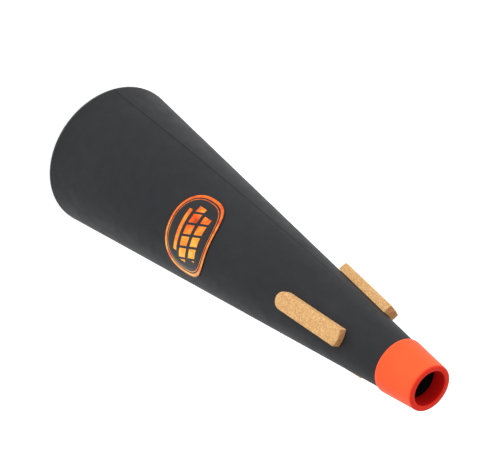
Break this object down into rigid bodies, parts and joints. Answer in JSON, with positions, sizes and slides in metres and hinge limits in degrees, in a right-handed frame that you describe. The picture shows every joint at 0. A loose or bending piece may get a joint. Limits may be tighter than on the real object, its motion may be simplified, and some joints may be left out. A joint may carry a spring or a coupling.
{
  "type": "trombone straight mute",
  "caption": "Straight mute for trombone: slim rolled cone closed at the wide end, with cork strips, a soft collar at the open narrow end and a printed patch.",
  "frame": {"origin": "centre of the closed wide end's outer face, on the ground plane when the mute stands on its wide end", "axes": "+Z runs along the cone's axis from the wide end to the narrow open end; the printed patch and the first cork strip face mostly -Y"},
  "size_m": [0.0984, 0.0984, 0.32],
  "materials": {
    "sheet": "satin dark grey rolled sheet",
    "disc": "matte dark grey board",
    "collar": "satin orange-red moulded rubber",
    "cork": "fine-grain pressed cork",
    "foil": "glossy black film with metallic orange foil lines"
  },
  "bodies": {
    "root": {"cone_shell": "sheet", "bottom_disc": "disc", "end_collar": "collar", "cork_strip_1": "cork", "cork_strip_2": "cork", "cork_strip_3": "cork", "foil_patch": "foil"}
  },
  "joints": []
}
